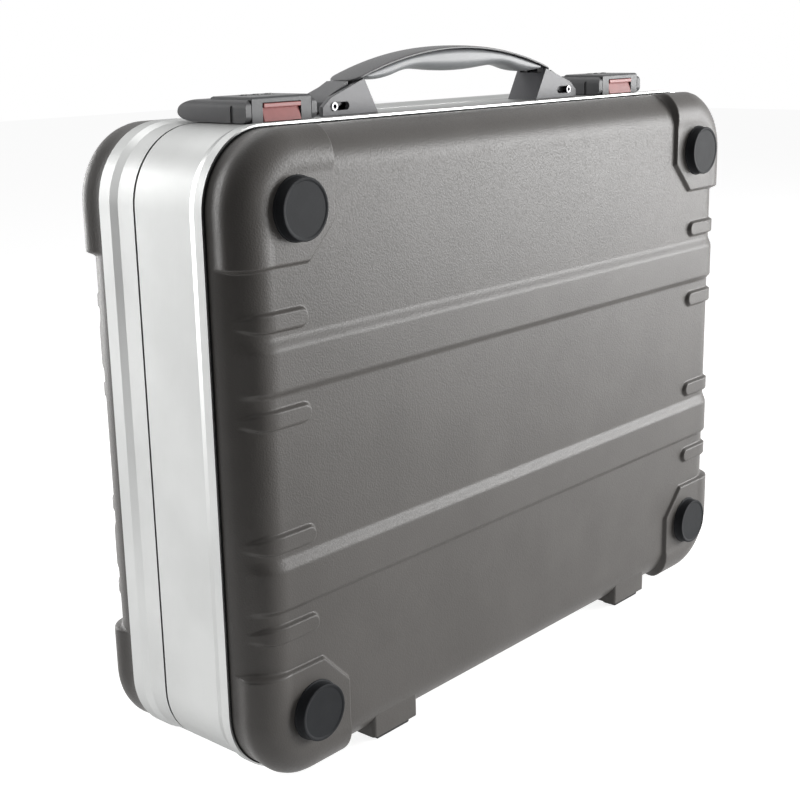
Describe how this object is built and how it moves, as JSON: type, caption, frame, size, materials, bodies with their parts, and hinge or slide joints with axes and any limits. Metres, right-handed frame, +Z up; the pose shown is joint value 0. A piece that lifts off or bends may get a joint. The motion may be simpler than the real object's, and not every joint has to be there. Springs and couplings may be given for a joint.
{
  "type": "transport case",
  "caption": "Rigid carrying case with ribbed plastic shells in an aluminium frame, a lid hinged at the bottom, combination latches, corner bumpers and a carrying handle",
  "frame": {"origin": "on the floor under the middle of the closed case, at the foot pads' undersides", "axes": "+X to the right seen from the front face, +Y to the rear from the base to the lid, +Z up towards the handle"},
  "size_m": [0.49, 0.15, 0.4055],
  "materials": {
    "frame": "satin anodised",
    "shell": "fine grained matt",
    "seal": "matt",
    "bumper": "matt",
    "foot_pad": "matt",
    "rivet": "plain",
    "hinge": "brushed",
    "stay": "brushed",
    "latch_body": "fine grained matt",
    "hasp": "fine grained matt",
    "button": "smooth satin",
    "dial": "smooth with light digits",
    "pin": "ground",
    "keeper": "pressed",
    "bracket": "smooth satin",
    "tube": "turned",
    "link": "smooth satin",
    "strap": "fine grained matt",
    "grip": "soft satin"
  },
  "bodies": {
    "base": {"base_frame": "frame", "base_shell": "shell", "base_feet": "shell", "base_shell_seal": "seal", "parting_gasket": "seal", "front_bumper_top_left": "bumper", "front_bumper_bottom_left": "bumper", "front_bumper_top_right": "bumper", "front_bumper_bottom_right": "bumper", "front_foot_pad_left": "foot_pad", "front_foot_pad_right": "foot_pad", "base_rivets": "rivet", "base_hinge_leaf_left": "hinge", "base_hinge_leaf_right": "hinge", "hinge_pin_left": "hinge", "hinge_pin_right": "hinge", "latch_body_left": "latch_body", "latch_body_right": "latch_body", "dial_axles": "pin", "hasp_pins": "pin", "handle_bracket_left": "bracket", "handle_bracket_right": "bracket", "base_stay_studs": "stay"},
    "lid": {"lid_frame": "frame", "lid_shell": "shell", "lid_feet": "shell", "lid_shell_seal": "seal", "rear_bumper_top_left": "bumper", "rear_bumper_bottom_left": "bumper", "rear_bumper_top_right": "bumper", "rear_bumper_bottom_right": "bumper", "rear_foot_pad_left": "foot_pad", "rear_foot_pad_right": "foot_pad", "lid_rivets": "rivet", "lid_hinge_leaf_left": "hinge", "lid_hinge_leaf_right": "hinge", "keeper_left": "keeper", "keeper_right": "keeper", "lid_stay_studs": "stay"},
    "handle": {"handle_strap": "strap", "handle_grip": "grip", "handle_pins": "pin"},
    "hasp_left": {"hasp_left": "hasp"},
    "button_left": {"latch_button_left": "button"},
    "dial_left_1": {"dial_left_1": "dial"},
    "dial_left_2": {"dial_left_2": "dial"},
    "dial_left_3": {"dial_left_3": "dial"},
    "hasp_right": {"hasp_right": "hasp"},
    "button_right": {"latch_button_right": "button"},
    "dial_right_1": {"dial_right_1": "dial"},
    "dial_right_2": {"dial_right_2": "dial"},
    "dial_right_3": {"dial_right_3": "dial"},
    "handle_link_left": {"handle_link_left": "link", "handle_tube_left": "tube"},
    "handle_link_right": {"handle_link_right": "link", "handle_tube_right": "tube"},
    "stay_base_left": {"stay_base_link_left": "stay"},
    "stay_lid_left": {"stay_lid_link_left": "stay"},
    "stay_base_right": {"stay_base_link_right": "stay"},
    "stay_lid_right": {"stay_lid_link_right": "stay"}
  },
  "joints": [
    {"name": "lid_hinge", "type": "hinge", "parent": "base", "child": "lid", "pos_m": [0, 0.0135, 0.0047], "axis": [-1, 0, 0], "range_deg": [0, 95]},
    {"name": "hasp_left_hinge", "type": "hinge", "parent": "base", "child": "hasp_left", "pos_m": [-0.168, -0.0205, 0.3722], "axis": [1, 0, 0], "range_deg": [0, 75]},
    {"name": "button_left_slide", "type": "slide", "parent": "base", "child": "button_left", "axis": [0, 1, 0], "range_m": [0, 0.0025], "stiffness_N_per_m": 400, "springref_m": -0.003},
    {"name": "dial_left_1_spin", "type": "hinge", "parent": "base", "child": "dial_left_1", "pos_m": [-0.177, -0.004, 0.3767], "axis": [1, 0, 0], "continuous": true},
    {"name": "dial_left_2_spin", "type": "hinge", "parent": "base", "child": "dial_left_2", "pos_m": [-0.168, -0.004, 0.3767], "axis": [1, 0, 0], "continuous": true},
    {"name": "dial_left_3_spin", "type": "hinge", "parent": "base", "child": "dial_left_3", "pos_m": [-0.159, -0.004, 0.3767], "axis": [1, 0, 0], "continuous": true},
    {"name": "hasp_right_hinge", "type": "hinge", "parent": "base", "child": "hasp_right", "pos_m": [0.168, -0.0205, 0.3722], "axis": [1, 0, 0], "range_deg": [0, 75]},
    {"name": "button_right_slide", "type": "slide", "parent": "base", "child": "button_right", "axis": [0, 1, 0], "range_m": [0, 0.0025], "stiffness_N_per_m": 400, "springref_m": -0.003},
    {"name": "dial_right_1_spin", "type": "hinge", "parent": "base", "child": "dial_right_1", "pos_m": [0.159, -0.004, 0.3767], "axis": [1, 0, 0], "continuous": true},
    {"name": "dial_right_2_spin", "type": "hinge", "parent": "base", "child": "dial_right_2", "pos_m": [0.168, -0.004, 0.3767], "axis": [1, 0, 0], "continuous": true},
    {"name": "dial_right_3_spin", "type": "hinge", "parent": "base", "child": "dial_right_3", "pos_m": [0.177, -0.004, 0.3767], "axis": [1, 0, 0], "continuous": true},
    {"name": "handle_lift", "type": "slide", "parent": "base", "child": "handle", "axis": [0, 0, 1], "range_m": [0, 0.006]},
    {"name": "handle_link_left_hinge", "type": "hinge", "parent": "handle", "child": "handle_link_left", "pos_m": [-0.0945, -0.0023, 0.3838], "axis": [0, -1, 0], "range_deg": [0, 16.5]},
    {"name": "handle_link_right_hinge", "type": "hinge", "parent": "handle", "child": "handle_link_right", "pos_m": [0.0945, -0.0023, 0.3838], "axis": [0, 1, 0], "range_deg": [0, 16.5]},
    {"name": "stay_base_left_hinge", "type": "hinge", "parent": "base", "child": "stay_base_left", "pos_m": [-0.2286, 0.0035, 0.0597], "axis": [-1, 0, 0], "range_deg": [0, 95]},
    {"name": "stay_lid_left_hinge", "type": "hinge", "parent": "lid", "child": "stay_lid_left", "pos_m": [-0.231, 0.0235, 0.0597], "axis": [-1, 0, 0], "range_deg": [-95, 0]},
    {"name": "stay_base_right_hinge", "type": "hinge", "parent": "base", "child": "stay_base_right", "pos_m": [0.2286, 0.0035, 0.0597], "axis": [-1, 0, 0], "range_deg": [0, 95]},
    {"name": "stay_lid_right_hinge", "type": "hinge", "parent": "lid", "child": "stay_lid_right", "pos_m": [0.231, 0.0235, 0.0597], "axis": [-1, 0, 0], "range_deg": [-95, 0]}
  ],
  "couplings": [
    {"joint": "handle_link_left_hinge", "follows": "handle_lift", "rad_per_m": 47.74},
    {"joint": "handle_link_right_hinge", "follows": "handle_lift", "rad_per_m": 47.74},
    {"joint": "stay_base_left_hinge", "follows": "lid_hinge", "ratio": 1},
    {"joint": "stay_lid_left_hinge", "follows": "lid_hinge", "ratio": -1},
    {"joint": "stay_base_right_hinge", "follows": "lid_hinge", "ratio": 1},
    {"joint": "stay_lid_right_hinge", "follows": "lid_hinge", "ratio": -1}
  ]
}
